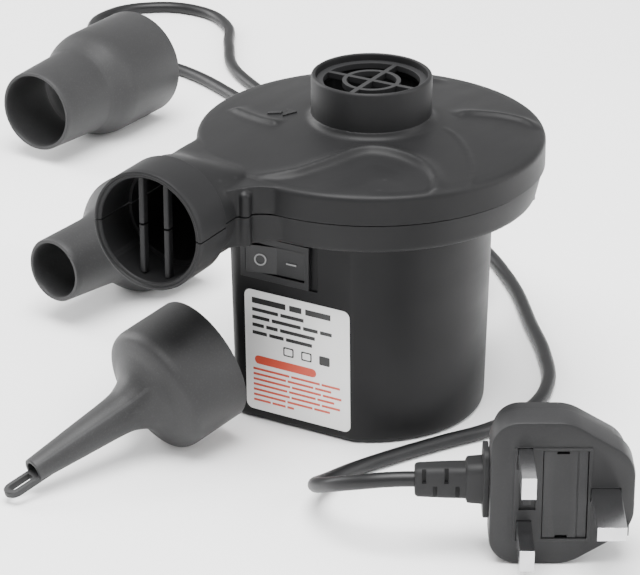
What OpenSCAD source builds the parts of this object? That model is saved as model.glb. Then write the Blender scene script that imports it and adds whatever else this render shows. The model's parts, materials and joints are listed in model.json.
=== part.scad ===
// Electric air mattress pump with three loose nozzles and a moulded plug on its cord.
// Millimetres, +Z up. Origin: the impeller axis where it meets the resting surface.
// Front (-Y) is the flat switch panel and the way the outlet blows.

/* [Housing] */
// radius of the round lid
lid_r = 52; // [45:0.5:60]
// height of the seam between lid and lower housing
seam_z = 78; // [70:0.5:85]
// height of the lid edge
lid_edge_z = 87; // [82:0.5:92]
// height of the intake collar rim
rim_z = 105; // [98:0.5:112]
// radius of the motor well at the foot
well_r_low = 35.3; // [32:0.1:38]
// radius of the motor well under the flange
well_r_high = 36.8; // [34:0.1:40]
// wall thickness of the shells
wall = 2.2; // [1.6:0.1:3]

/* [Ports] */
// outer radius of the intake collar and the outlet ring
port_r = 18; // [16:0.1:20]
// inner radius of the intake collar
collar_bore_r = 16.6; // [14:0.1:17]
// inner radius of the outlet
outlet_bore_r = 15.8; // [14:0.1:16.2]
// sideways position of the outlet centre
outlet_x = -28; // [-34:0.5:-24]
// front face of the outlet ring
outlet_y = -80; // [-84:0.5:-74]

/* [Nozzles] */
// clearance of a nozzle socket on a port
socket_gap = 0.15; // [0.05:0.05:0.4]
// outer radius of a nozzle socket
socket_r = 19.7; // [19:0.1:21]
// length of the large nozzle
large_len = 62; // [50:1:75]
// length of the medium nozzle
medium_len = 58; // [45:1:70]
// length of the small nozzle
small_len = 76; // [70:1:110]

/* [Motor] */
// radius of the motor can
can_r = 17.9; // [16:0.1:20]
// length of the motor can
can_len = 50; // [40:1:55]
// radius of the shaft
shaft_r = 1.585; // [1:0.005:2.5]
// radius of the impeller
fan_r = 42; // [36:0.5:44]
// number of impeller blades
blades = 8; // [5:1:12]

/* [Switch] */
// tilt of the rocker at rest, O side pressed in
rocker_tilt = 7; // [4:0.5:10]

/* [Cord and plug] */
// cord radius
cord_r = 2.2; // [1.8:0.1:3]

/* [Hidden] */
$fn = 96;
floor_z = 68.5;
flange_r = 49.6;
deck_z = 70.5;
deck_t = 2;
can_top = 70.5;
can_low = can_top - can_len;
panel_low = -33;
panel_high = -34.5;
block_low = -29.5;
block_high = -31;
corner_x = -26;
corner_y = -29.5;
bell_z = 16.5;
screw_ring = 41;
fan_z = 74.6;
socket_bore = port_r + socket_gap;
black = [0.13, 0.13, 0.14];
dark = [0.07, 0.07, 0.075];
steel = [0.72, 0.73, 0.75];
copper = [0.72, 0.42, 0.2];
gold = [0.78, 0.62, 0.3];
pale = [0.86, 0.86, 0.85];

// slope of the upper rise of the outlet neck, and of the lower one
neck_back = -44;
neck_front = -66;

function arc(cx, cy, r, a0, a1, n) =
  [for (i = [0:n]) [cx + r * cos(a0 + (a1 - a0) * i / n), cy + r * sin(a0 + (a1 - a0) * i / n)]];

// ---------- helpers ----------
module pipe_y(x, z, r, y0, y1) {
  translate([x, y1, z]) rotate([90, 0, 0]) cylinder(r = r, h = y1 - y0);
}

module slab(x0, x1, y0, y1, z0, z1) {
  translate([x0, y0, z0]) cube([x1 - x0, y1 - y0, z1 - z0]);
}

// prism whose outline is given in x and z, standing from y0 to y1
module prism_xz(points, y0, y1) {
  translate([0, y1, 0]) rotate([90, 0, 0]) linear_extrude(y1 - y0) polygon(points);
}

// prism whose outline is given in y and z, standing from x0 to x1
module prism_yz(points, x0, x1) {
  translate([x0, 0, 0]) rotate([90, 0, 90]) linear_extrude(x1 - x0) polygon(points);
}

// tube swept along a list of points with flat facets
module sweep(path, r, sides) {
  n = len(path);
  tang = [for (i = [0:n - 1]) let (
      a = path[max(i - 1, 0)],
      b = path[min(i + 1, n - 1)],
      d = b - a) d / norm(d)];
  rings = [for (i = [0:n - 1]) let (
      t = tang[i],
      s0 = cross(t, [0, 0, 1]),
      s1 = norm(s0) < 0.02 ? cross(t, [0, 1, 0]) : s0,
      s = s1 / norm(s1),
      u = cross(s, t))
    [for (k = [0:sides - 1]) path[i] + r * (cos(360 * k / sides) * s + sin(360 * k / sides) * u)]];
  points = [for (ring = rings) for (p = ring) p];
  sides_f = [for (i = [0:n - 2]) for (k = [0:sides - 1]) let (k1 = (k + 1) % sides)
    [i * sides + k, i * sides + k1, (i + 1) * sides + k1, (i + 1) * sides + k]];
  first = [[for (k = [sides - 1:-1:0]) k]];
  last = [[for (k = [0:sides - 1]) (n - 1) * sides + k]];
  polyhedron(points = points, faces = concat(sides_f, first, last), convexity = 10);
}

function spline_point(p0, p1, p2, p3, t) =
  0.5 * ((2 * p1) + (p2 - p0) * t + (2 * p0 - 5 * p1 + 4 * p2 - p3) * t * t
  + (3 * p1 - p0 - 3 * p2 + p3) * t * t * t);

// smooth line through the points of a route, with one ring for each pitch of length
function spline(p, pitch) = let (n = len(p)) concat(
  [for (i = [0:n - 2]) let (steps = max(1, round(norm(p[i + 1] - p[i]) / pitch)))
    for (s = [0:steps - 1])
      spline_point(p[max(i - 1, 0)], p[i], p[i + 1], p[min(i + 2, n - 1)], s / steps)],
  [p[n - 1]]);

// ---------- outer shape of the housing ----------
module well_solid(inset, z0) {
  top = deck_z + 0.5;
  slope = (well_r_high - well_r_low) / floor_z;
  r0 = well_r_low + slope * z0 - inset;
  r1 = well_r_low + slope * top - inset;
  left0 = block_low - slope * z0 + inset;
  left1 = block_low - slope * top + inset;
  front0 = panel_low - slope * z0 + inset;
  front1 = panel_low - slope * top + inset;
  corner0 = 3.5 + slope * z0 - inset;
  corner1 = 3.5 + slope * top - inset;
  right = 9;
  difference() {
    translate([0, 0, z0]) cylinder(r1 = r0, r2 = r1, h = top - z0);
    prism_yz([[front0, z0 - 1], [-60, z0 - 1], [-60, top + 1], [front1, top + 1]], corner_x, 40);
  }
  prism_xz([[left0, z0], [left1, top], [0, top], [0, z0]], corner_y, -10);
  prism_yz([[front0, z0], [front1, top], [0, top], [0, z0]], corner_x, right);
  translate([corner_x, corner_y, z0]) cylinder(r1 = corner0, r2 = corner1, h = top - z0);
}

module flange_solid() {
  rotate_extrude() polygon([[0, floor_z], [flange_r - 1.2, floor_z], [flange_r, floor_z + 1.2],
    [lid_r - 0.5, seam_z], [0, seam_z]]);
}

module lid_solid(lift) {
  rotate_extrude() polygon(concat([[0, seam_z], [lid_r, seam_z], [lid_r, lid_edge_z - 1.2 + lift]],
    arc(lid_r - 1.2, lid_edge_z - 1.2 + lift, 1.2, 15, 80, 4),
    [[38, 88.9 + lift], [28, 90.1 + lift], [20.2, 90.8 + lift], [0, 90.8 + lift]]));
}

// outlet ring and neck, before it is split along the seam
module neck_solid() {
  pipe_y(outlet_x, seam_z, port_r, outlet_y, neck_front);
  intersection() {
    pipe_y(outlet_x, seam_z, port_r - 1, neck_front - 0.5, -20);
    prism_yz([[neck_front - 1, seam_z - port_r], [neck_front, seam_z - port_r], [-38, floor_z],
      [-19, floor_z], [-19, lid_edge_z - 0.5], [neck_back, lid_edge_z],
      [neck_front, seam_z + port_r], [neck_front - 1, seam_z + port_r]], -60, 10);
  }
  slab(outlet_x - port_r + 1, outlet_x + port_r - 1, neck_front, -6, floor_z, lid_edge_z - 0.3);
}

module duct_hollow() {
  pipe_y(outlet_x, seam_z, outlet_bore_r, outlet_y - 1, neck_front + 1.9);
  intersection() {
    pipe_y(outlet_x, seam_z, outlet_bore_r, neck_front + 1, -13);
    prism_yz([[neck_front, seam_z - outlet_bore_r], [neck_front + 2, seam_z - outlet_bore_r],
      [-40, deck_z + deck_t], [-12, deck_z + deck_t], [-12, 84.9], [-46, 84.9],
      [neck_front + 2, seam_z + outlet_bore_r], [neck_front, seam_z + outlet_bore_r]], -60, 10);
  }
  slab(outlet_x - outlet_bore_r + 0.4, outlet_x + outlet_bore_r - 0.4, -58, -12, deck_z + deck_t, 84.9);
}

module neck_ribs() {
  for (s = [0:2])
    translate([outlet_x + port_r - 1, -59.4 + 3 * s, floor_z + 1]) cylinder(r = 0.7, h = 17);
}

module lid_boss_spots() {
  for (a = [25, 70, 115, 160]) rotate([0, 0, a]) translate([screw_ring + 6.1, 0, 0]) children();
}

module deck_boss_spots() {
  for (a = [45, 135, 200, 330]) rotate([0, 0, a]) translate([screw_ring, 0, 0]) children();
}

// ---------- housing pieces ----------
module lower_housing() {
  color(black) difference() {
    union() {
      difference() {
        union() {
          well_solid(0, 1.2);
          intersection() {
            well_solid(1, 0);
            slab(-60, 60, -60, 60, 0, 2);
          }
          flange_solid();
          intersection() {
            union() {
              neck_solid();
              neck_ribs();
            }
            slab(-80, 0, -80, 0, 40, seam_z);
          }
        }
        well_solid(wall, wall);
        translate([0, 0, deck_z]) cylinder(r = lid_r - 2.8, h = 20);
        duct_hollow();
      }
      for (p = foot_spots) translate([p[0], p[1], 1]) cylinder(r = 3, h = 7);
    }
    // switch opening and its shallow recess
    slab(-24.9, 1.2, -40, -33.3, 47.4, 61.9);
    slab(-23.2, -2.4, -40, -28, 49.2, 60.2);
    // cord hole at the back
    translate([0, 28, 14]) rotate([-90, 0, 0]) cylinder(r = 4.2, h = 12);
    // holes for the lid screws and the deck screws
    lid_boss_spots() translate([0, 0, floor_z - 1]) cylinder(r = 1.3, h = 12);
    deck_boss_spots() translate([0, 0, deck_z - 1.6]) cylinder(r = 0.95, h = 4);
    // air slots under the motor
    for (i = [-3:3]) slab(7 * i - 1.1, 7 * i + 1.1, -14, 14, -1, wall + 1);
  }
}
foot_spots = [[24, 18], [-24, 18], [24, -18]];

module top_lid() {
  color(black) difference() {
    union() {
      difference() {
        union() {
          lid_solid(0);
          lid_swirls();
          translate([0, 0, 90]) cylinder(r1 = port_r + 2.2, r2 = port_r, h = 2.4);
          translate([0, 0, 90]) cylinder(r = port_r, h = rim_z - 90);
          intersection() {
            union() {
              neck_solid();
              neck_ribs();
            }
            slab(-80, 0, -80, 0, seam_z, 110);
          }
        }
        // inside of the lid
        rotate_extrude() polygon([[0, seam_z - 1], [lid_r - 2.2, seam_z - 1], [lid_r - 2.2, 84.9],
          [38, 86.7], [20, 88.2], [0, 88.2]]);
        translate([0, 0, 80]) cylinder(r = collar_bore_r, h = 40);
        duct_hollow();
      }
      // snap ledge that carries the grille
      translate([0, 0, 99.4]) difference() {
        cylinder(r = collar_bore_r + 0.3, h = 1.6);
        translate([0, 0, -1]) cylinder(r = collar_bore_r - 1.1, h = 4);
      }
      lid_boss_spots() translate([0, 0, seam_z + 0.1]) cylinder(r = 2.6, h = 8.4);
    }
    lid_boss_spots() translate([0, 0, floor_z]) cylinder(r = 0.95, h = 16);
  }
}

// raised swirl lines on the lid, each a pair of tangent arcs
module swirl(cx, cy, r, a0, a1) {
  linear_extrude(20) polygon(concat(arc(cx, cy, r + 0.6, a0, a1, 12), arc(cx, cy, r - 0.6, a1, a0, 12)));
}

module lid_swirls() {
  intersection() {
    lid_solid(0.7);
    difference() {
      translate([0, 0, seam_z + 2]) union() {
        swirl(34, -27, 27, 120, 193);
        swirl(18, -32, 21, 5, 100);
        swirl(32, 16, 13, 50, 150);
        swirl(-30, 6, 17.5, 228, 310);
        swirl(-4, 50, 24, 195, 275);
      }
      translate([0, 0, 60]) cylinder(r = port_r + 1, h = 60);
    }
  }
}

// two upright bars in the outlet, each parted at the seam
module outlet_guard() {
  color(black) intersection() {
    pipe_y(outlet_x, seam_z, outlet_bore_r - 0.02, outlet_y + 3.5, outlet_y + 8);
    union() {
      for (x = [outlet_x - 4.15, outlet_x + 4.15])
        for (z = [60.15, seam_z + 0.15]) slab(x - 0.9, x + 0.9, outlet_y + 3.5, outlet_y + 8, z, z + 17.7);
    }
  }
}

module intake_grille() {
  color(dark) translate([0, 0, 101.1]) {
    difference() {
      cylinder(r = collar_bore_r - 0.1, h = 1.8);
      translate([0, 0, -1]) cylinder(r = 14.4, h = 4);
    }
    difference() {
      cylinder(r = 8.7, h = 1.8);
      translate([0, 0, -1]) cylinder(r = 7.4, h = 4);
    }
    slab(-15, 15, -0.75, 0.75, 0, 1.8);
    slab(-0.75, 0.75, -15, 15, 0, 1.8);
  }
}

module air_deck() {
  color(dark) difference() {
    union() {
      translate([0, 0, deck_z]) cylinder(r = 45.5, h = deck_t);
      translate([0, 0, deck_z]) intersection() {
        difference() {
          cylinder(r = 46.5, h = 12);
          translate([0, 0, -1]) cylinder(r = 44.9, h = 15);
        }
        linear_extrude(14) polygon([[0, 0], [-11, -60], [22, -60]]);
      }
    }
    translate([0, 0, deck_z - 1]) cylinder(r = 5.5, h = 4);
    for (s = [-1, 1]) translate([8 * s, 0, deck_z - 1]) cylinder(r = 1.6, h = 4);
    deck_boss_spots() translate([0, 0, deck_z - 1]) cylinder(r = 1.3, h = 4);
    lid_boss_spots() translate([0, 0, deck_z - 1]) cylinder(r = 3.1, h = 4);
  }
}

module motor_sleeve() {
  color([0.05, 0.05, 0.05]) translate([0, 0, can_top - 30]) difference() {
    cylinder(r = can_r + 2.2, h = 8);
    translate([0, 0, -1]) cylinder(r = can_r + 0.05, h = 10);
  }
}

module motor_cradle() {
  color(black) difference() {
    union() {
      translate([0, 0, 26]) cylinder(r = can_r + 2.4, h = 4);
      for (a = [15, 75, 165, 345]) rotate([0, 0, a]) slab(can_r + 1, 32.6, -1.2, 1.2, 26, 30);
    }
    translate([0, 0, 25]) cylinder(r = can_r + 0.05, h = 6);
  }
}

module lid_screws() {
  color(steel) lid_boss_spots() {
    translate([0, 0, floor_z - 1.9]) cylinder(r = 2.2, h = 1.9);
    translate([0, 0, floor_z]) cylinder(r = 1.2, h = 9.5);
    translate([0, 0, floor_z + 9.5]) cylinder(r = 0.9, h = 6);
  }
}

module deck_screws() {
  color(steel) deck_boss_spots() {
    translate([0, 0, deck_z + deck_t]) cylinder(r = 1.9, h = 1.2);
    translate([0, 0, deck_z - 1.4]) cylinder(r = 0.9, h = 3.6);
  }
}

// ---------- motor ----------
module motor_can() {
  color(steel) difference() {
    union() {
      translate([0, 0, can_low]) cylinder(r = can_r, h = can_len);
      translate([0, 0, can_top - 0.5]) cylinder(r = 5, h = 2.7);
    }
    translate([0, 0, can_low - 1]) cylinder(r = can_r - 1.1, h = can_len - 0.3);
    translate([0, 0, can_top - 4]) cylinder(r = 3.55, h = 6);
    translate([0, 0, can_top + 1]) cylinder(r = 2.2, h = 4);
    for (s = [-1, 1]) translate([8 * s, 0, can_top - 3]) cylinder(r = 1.28, h = 6);
    for (a = [90, 270]) rotate([0, 0, a]) slab(9.5, 13.5, -4.5, 4.5, can_top - 3, can_top + 3);
    for (a = [30, 150, 270]) rotate([0, 0, a]) slab(14, 22, -3.5, 3.5, can_low + 3, can_low + 9);
  }
}

module motor_magnets() {
  color([0.2, 0.19, 0.18]) for (a = [0, 180]) rotate([0, 0, a]) intersection() {
    translate([0, 0, can_low + 12]) difference() {
      cylinder(r = can_r - 1.12, h = 32);
      translate([0, 0, -1]) cylinder(r = 12.2, h = 34);
    }
    translate([0, 0, can_low + 5]) linear_extrude(45) polygon([[0, 0], [40, -42], [40, 42]]);
  }
}

module motor_end_bell() {
  color([0.85, 0.83, 0.78]) difference() {
    union() {
      translate([0, 0, bell_z]) cylinder(r = can_r, h = 3.9);
      translate([0, 0, bell_z + 3.8]) cylinder(r = can_r - 1.2, h = 2.2);
      translate([0, 0, bell_z - 3.2]) cylinder(r = 5, h = 4);
    }
    translate([0, 0, bell_z - 2]) cylinder(r = 3.55, h = 12);
    for (a = [45, 135, 225, 315]) rotate([0, 0, a]) slab(7.5, 14.5, -2.2, 2.2, bell_z - 1, bell_z + 9);
    for (s = [-1, 1]) slab(12 * s - 1.7, 12 * s + 1.7, -0.5, 0.5, bell_z - 1, bell_z + 9);
  }
}

module bearings() {
  color(gold) {
    translate([0, 0, can_top - 3.9]) difference() {
      cylinder(r = 3.53, h = 4.8);
      translate([0, 0, -1]) cylinder(r = shaft_r + 0.03, h = 8);
    }
    translate([0, 0, bell_z - 1.95]) difference() {
      cylinder(r = 3.53, h = 4.8);
      translate([0, 0, -1]) cylinder(r = shaft_r + 0.03, h = 8);
    }
  }
}

module brush_springs() {
  color(copper) for (s = [-1, 1]) {
    slab(12 * s - 1.6, 12 * s + 1.6, -0.4, 0.4, bell_z - 3.5, bell_z + 8);
    slab(min(12 * s, 6.9 * s), max(12 * s, 6.9 * s), -0.4, 0.4, bell_z + 6.8, bell_z + 8);
  }
}

module carbon_brushes() {
  color([0.1, 0.1, 0.1]) for (s = [-1, 1])
    slab(min(4.45 * s, 6.9 * s), max(4.45 * s, 6.9 * s), -1.6, 1.6, bell_z + 6, bell_z + 9.4);
}

module motor_shaft() {
  color(steel) translate([0, 0, bell_z - 1.6]) cylinder(r = shaft_r, h = 68.6);
}

module armature_core() {
  color([0.5, 0.5, 0.52]) translate([0, 0, can_low + 14]) difference() {
    cylinder(r = 11.6, h = 28);
    translate([0, 0, -1]) cylinder(r = shaft_r + 0.01, h = 30);
    for (i = [0:4]) rotate([0, 0, 72 * i + 36]) {
      translate([8, 0, -1]) cylinder(r = 2.6, h = 30);
      slab(8, 13, -0.8, 0.8, -1, 29);
    }
  }
}

module armature_windings() {
  color(copper) for (i = [0:4]) rotate([0, 0, 72 * i + 36])
    translate([7.9, 0, can_low + 11.5]) cylinder(r = 2.45, h = 33);
}

module commutator() {
  color(copper) translate([0, 0, bell_z + 6.4]) difference() {
    union() {
      cylinder(r = 4.35, h = 5.6);
      translate([0, 0, 5.6]) cylinder(r = 5.1, h = 1.2);
    }
    translate([0, 0, -1]) cylinder(r = shaft_r + 0.01, h = 12);
    for (i = [0:4]) rotate([0, 0, 72 * i]) slab(3.4, 7, -0.25, 0.25, -1, 5);
  }
}

module motor_screws() {
  color(steel) for (s = [-1, 1]) translate([8 * s, 0, 0]) {
    translate([0, 0, deck_z + deck_t]) cylinder(r = 2.2, h = 1.2);
    translate([0, 0, can_top - 1.6]) cylinder(r = 1.25, h = deck_t + 2);
  }
}

// ---------- impeller ----------
module impeller() {
  color([0.16, 0.16, 0.17]) difference() {
    union() {
      translate([0, 0, fan_z]) cylinder(r = fan_r, h = 1.5);
      translate([0, 0, fan_z]) cylinder(r1 = 8.5, r2 = 5.6, h = 9);
      intersection() {
        for (i = [0:blades - 1]) rotate([0, 0, 360 / blades * i])
          translate([0, 0, fan_z + 1]) linear_extrude(12) polygon(concat(
            arc(9, 24, 20, -76, 20, 10), arc(9, 24, 18.8, 20, -76, 10)));
        rotate_extrude() polygon([[0, fan_z], [fan_r - 0.3, fan_z], [fan_r - 0.3, 83.2], [17, 86], [0, 86]]);
      }
    }
    translate([0, 0, fan_z - 1]) cylinder(r = 3.1, h = 12);
  }
}

module impeller_hub() {
  color(gold) difference() {
    translate([0, 0, fan_z - 0.4]) cylinder(r = 3.08, h = 8.6);
    translate([0, 0, fan_z - 1]) cylinder(r = shaft_r + 0.01, h = 12);
  }
}

// ---------- electrics in the well ----------
module rectifier_board() {
  color([0.1, 0.3, 0.16]) difference() {
    translate([0, 0, 9.4]) cylinder(r = 15.5, h = 1.5);
    for (s = [-1, 1]) slab(12 * s - 1.8, 12 * s + 1.8, -0.6, 0.6, 9, 12);
    slab(-20, 20, 11.5, 20, 9, 12);
  }
}

module board_parts() {
  color([0.08, 0.08, 0.08]) {
    for (x = [-7.5, -2.5, 2.5, 7.5]) translate([x, -6.5, 7.9]) rotate([90, 0, 0]) cylinder(r = 1.4, h = 4);
    slab(-7, 7, 0.5, 7, 4.4, 9.35);
  }
}

module board_posts() {
  color(black) for (p = [[10.5, 8], [-10.5, 8], [3.5, -12.6]])
    translate([p[0], p[1], wall]) cylinder(r = 1.6, h = 9.4 - wall);
}

red_wire = [[-19, -21.5, 42.5], [-20.5, -22, 36], [-22, -20, 26], [-18, -14, 14], [-10, -9, 11.8]];
blue_wire = [[0.95, 18.9, 14], [1.6, 16.8, 13.9], [5, 13.5, 13.2], [9, 8.5, 12.2], [10, 4.5, 11.8]];
brown_wire = [[-0.95, 18.9, 14], [-1.8, 16.6, 13.8], [-6, 14.8, 13.2], [-13, 14.5, 13.4], [-20, 9.5, 16],
  [-23.8, 2, 24], [-24.5, -8, 34], [-20, -16, 40], [-13, -21.5, 42]];

module inner_wires() {
  color([0.5, 0.12, 0.08]) sweep(spline(red_wire, 2.5), 0.8, 6);
  color([0.1, 0.2, 0.5]) sweep(spline(blue_wire, 2.5), 0.8, 6);
  color([0.45, 0.3, 0.15]) sweep(spline(brown_wire, 2.5), 0.8, 6);
}

// ---------- switch ----------
module switch_frame() {
  color(dark) difference() {
    union() {
      slab(-24.6, -1.3, -35, -33.35, 47.8, 61.5);
      slab(-23, -2.6, -33.6, -20.5, 49.4, 60);
    }
    slab(-22.9, -2.7, -36, -29.6, 50, 59.4);
    slab(-21.6, -4, -30, -22.5, 50.4, 59);
    translate([-12.8, -31.6, 49]) cylinder(r = 1.08, h = 12);
    for (x = [-20.7, -14.7]) slab(x, x + 3.4, -22.55, -21.5, 49, 54.1);
  }
}

module switch_terminals() {
  color(gold) {
    slab(-20.6, -17.4, -22.4, -21.6, 43, 54);
    slab(-14.6, -11.4, -22.4, -21.6, 43, 54);
  }
}

module switch_contact() {
  color(gold) slab(-20.4, -11, -24.2, -22.5, 53.4, 55.2);
}

module rocker_place() {
  translate([-12.8, -31.6, 54.7]) rotate([0, 0, rocker_tilt]) children();
}

module rocker() {
  color(dark) rocker_place() difference() {
    union() {
      translate([0, 0, -4.4]) linear_extrude(8.8) polygon([[-9.5, -3.9], [0, -2.9], [9.5, -3.9],
        [9.5, -2.1], [7.5, 0.9], [-7.5, 0.9], [-9.5, -2.1]]);
      slab(-1.3, 1.3, 0.5, 5, -2, 2);
    }
    translate([0, 0, -6]) cylinder(r = 1.03, h = 12);
  }
}

module rocker_marks() {
  color(pale) rocker_place() {
    translate([-5, -3.52, 0]) rotate([0, 0, 6]) rotate([90, 0, 0]) difference() {
      cylinder(r = 1.9, h = 0.2);
      translate([0, 0, -1]) cylinder(r = 1.45, h = 2);
    }
    translate([5, -3.52, 0]) rotate([0, 0, -6]) slab(-1.7, 1.7, -0.2, 0, -0.25, 0.25);
  }
}

module rocker_axle() {
  color(steel) translate([-12.8, -31.6, 49.45]) cylinder(r = 1, h = 10.5);
}

module rating_label() {
  tilt = atan((panel_low - panel_high) / floor_z);
  color(pale) translate([-24, panel_low - 0.1, 3.5]) rotate([90 + tilt, 0, 0])
    linear_extrude(0.15) union() {
      translate([2, 0]) square([32, 40]);
      translate([0, 2]) square([36, 36]);
      for (p = [[2, 2], [34, 2], [2, 38], [34, 38]]) translate(p) circle(r = 2);
    }
}

// ---------- cord ----------
module cord_gland() {
  color(dark) translate([0, 29, 14]) rotate([-90, 0, 0]) difference() {
    union() {
      cylinder(r = 6, h = 2.4);
      cylinder(r = 4.1, h = 8);
      translate([0, 0, 7.4]) cylinder(r1 = 6, r2 = 5, h = 3);
      translate([0, 0, 10]) cylinder(r1 = 4.6, r2 = 3.1, h = 22);
      for (i = [0:3]) translate([0, 0, 13 + 4 * i]) cylinder(r = 4.7 - 0.3 * i, h = 1.8);
    }
    translate([0, 0, -1]) cylinder(r = cord_r + 0.03, h = 40);
  }
}

module cord_clamp() {
  color(black) difference() {
    slab(-9, 9, 18.5, 25.5, 9.2, 18.8);
    translate([0, 17, 14]) rotate([-90, 0, 0]) cylinder(r = cord_r + 0.03, h = 12);
    for (s = [-1, 1]) translate([6.4 * s, 22, 8]) cylinder(r = 1.3, h = 12);
  }
}

module clamp_posts() {
  color(black) for (s = [-1, 1]) translate([6.4 * s, 22, wall]) difference() {
    cylinder(r = 2.4, h = 7);
    translate([0, 0, 1.6]) cylinder(r = 0.95, h = 7);
  }
}

module clamp_screws() {
  color(steel) for (s = [-1, 1]) translate([6.4 * s, 22, 0]) {
    translate([0, 0, 18.8]) cylinder(r = 2.2, h = 1.5);
    translate([0, 0, 4.4]) cylinder(r = 0.9, h = 14.6);
  }
}

lie = cord_r + 0.06;
cord_pitch = 13;
coil_at = [-55, 84];
coil_in = 20;
coil_out = 28.8;

// from the gland over the coil, to where it drops into the coil's inner turn
lead_in = [[0, 19, 14], [0, 41, 14], [0, 63, 14], [-1, 76, 13], [-7, 87, 11], [-18, 96, 8.8],
  [-30, 101.5, 7.4], [-42.5, 104, 7], [-55, 104.2, 6.9]];

// from the coil's outer turn along the floor to the plug
lead_out = [[-40, 111.5, lie], [-53, 121, lie], [-76, 136, lie], [-106, 155, lie], [-140, 176, lie],
  [-170, 194, lie], [-195, 205, lie], [-217, 209, lie], [-238, 213, lie], [-254, 226, lie],
  [-259, 245, lie], [-249, 262, lie], [-230, 268, lie], [-211, 259, lie], [-198, 240, lie],
  [-184, 220, lie], [-164, 204, lie], [-136, 187, lie], [-100, 165, lie], [-60, 140, lie],
  [-24, 116, lie], [2, 92, lie], [24, 64, lie], [37, 47, lie], [47, 29, lie], [50, 11, lie],
  [46, -7, lie], [37, -23, lie], [29, -38, lie], [23, -52, lie + 0.3], [21.4, -64, lie + 2],
  [24.1, -75, lie + 6.4], [32.2, -83, lie + 12.2], [43.2, -85.9, lie + 17.2],
  [54.2, -83, 22], [66.2, -76.05, 22]];

module power_cord() {
  color([0.04, 0.04, 0.04]) {
    sweep(spline(lead_in, cord_pitch), cord_r, 8);
    sweep(spline(lead_out, cord_pitch), cord_r, 8);
  }
}

// the turns that lie beside each other, as one flat ring
module cord_coil() {
  color([0.04, 0.04, 0.04]) translate([coil_at[0], coil_at[1], 0]) rotate_extrude()
    polygon([[coil_in - 2.2, 1.2], [coil_in - 1, 0.1], [coil_out - 1, 0.1], [coil_out + 0.2, 1.2],
      [coil_out + 0.2, 3.3], [coil_out - 1, 4.4], [coil_in - 1, 4.4], [coil_in - 2.2, 3.3]]);
}

// ---------- plug, standing on its long edge ----------
plug_at = [94, -60, -0.3];
plug_turn = 30;
plug_mid = 22.3;

module plug_place() {
  translate(plug_at) rotate([0, 0, plug_turn]) children();
}

module plug_outline(inset) {
  difference() {
    union() {
      translate([-20 + inset, 5.1 + inset]) square([30 - 2 * inset, 34.4 - 2 * inset]);
      translate([-14 + inset, 0.3 + inset]) square([24 - 2 * inset, 44 - 2 * inset]);
      translate([-4, 22.3]) circle(r = 24 - inset);
      translate([-14, 6.3]) circle(r = 6 - inset);
      translate([-14, 38.3]) circle(r = 6 - inset);
    }
    translate([-30, 44.3 - inset]) square([60, 10]);
    translate([-30, -10]) square([60, 10.3 + inset]);
    translate([-40, -5]) square([20 + inset, 60]);
  }
}

module plug_body() {
  color([0.05, 0.05, 0.055]) plug_place() difference() {
    union() {
      rotate([90, 0, 0]) linear_extrude(9) plug_outline(0);
      translate([0, 9, 0]) rotate([90, 0, 0]) linear_extrude(9.2) plug_outline(1.2);
    }
    for (s = [-1, 1]) slab(-12.6, -8.4, -10, 1, plug_mid + 11.1 * s - 3.3, plug_mid + 11.1 * s + 3.3);
    slab(7.7, 16.1, -10, 1, plug_mid - 2.1, plug_mid + 2.1);
    slab(-5.6, 7, -10, -0.5, plug_mid - 13.6, plug_mid + 13.6);
    slab(-13, -6.4, -10, -7.5, plug_mid - 5, plug_mid + 5);
  }
}

module plug_fuse_cover() {
  color([0.06, 0.06, 0.065]) plug_place() difference() {
    slab(-5.4, 6.8, -8.8, -7, plug_mid - 13.4, plug_mid + 13.4);
    slab(-2, 3.4, -9.5, -8.2, plug_mid + 9, plug_mid + 11.6);
  }
}

module plug_fuse() {
  color(pale) plug_place() translate([0.6, -3.75, plug_mid - 12.7]) cylinder(r = 3.1, h = 25.4);
}

module plug_fuse_clips() {
  color(gold) plug_place() for (s = [-1, 1])
    slab(-2.6, 3.8, -6.9, -0.55, plug_mid + 13.05 * s - 0.3, plug_mid + 13.05 * s + 0.3);
}

module plug_line_pins() {
  color(steel) plug_place() for (s = [-1, 1])
    slab(-12.5, -8.5, -26.7, -0.5, plug_mid + 11.1 * s - 3.175, plug_mid + 11.1 * s + 3.175);
}

module plug_earth_pin() {
  color(steel) plug_place() slab(7.8, 15.8, -31.7, -0.5, plug_mid - 2, plug_mid + 2);
}

module plug_relief() {
  color([0.05, 0.05, 0.05]) plug_place() translate([-20.05, 0, plug_mid]) rotate([0, -90, 0]) difference() {
    union() {
      cylinder(r = 6.4, h = 3.6);
      translate([0, 0, 3.4]) cylinder(r1 = 4.9, r2 = 3.4, h = 17);
      for (i = [0:3]) translate([0, 0, 5.4 + 3.9 * i]) cylinder(r = 5.3 - 0.3 * i, h = 2);
    }
    translate([0, 0, 12]) cylinder(r = cord_r + 0.03, h = 12);
  }
}

// ---------- loose nozzles, built along +Z from the socket end ----------
module nozzle_shell(outer, inner) {
  rotate_extrude() polygon(concat(outer, inner));
}

module lay(at, turn, tilt) {
  translate(at) rotate([0, 0, turn]) rotate([90 + tilt, 0, 0]) children();
}

module nozzle_large() {
  color([0.2, 0.2, 0.205]) lay([-193, 166, 19.75], -3, 0) nozzle_shell(
    [[socket_bore, 0], [socket_r - 0.5, 0], [socket_r, 0.5], [socket_r, 26], [19.3, 29], [17.9, 33],
      [16.4, 36.5], [15.6, 40], [14.6, large_len]],
    [[13.2, large_len], [14.1, 40], [14.9, 36.5], [16.3, 33], [16.8, 27], [16.8, 25], [socket_bore, 25]]);
}

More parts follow.
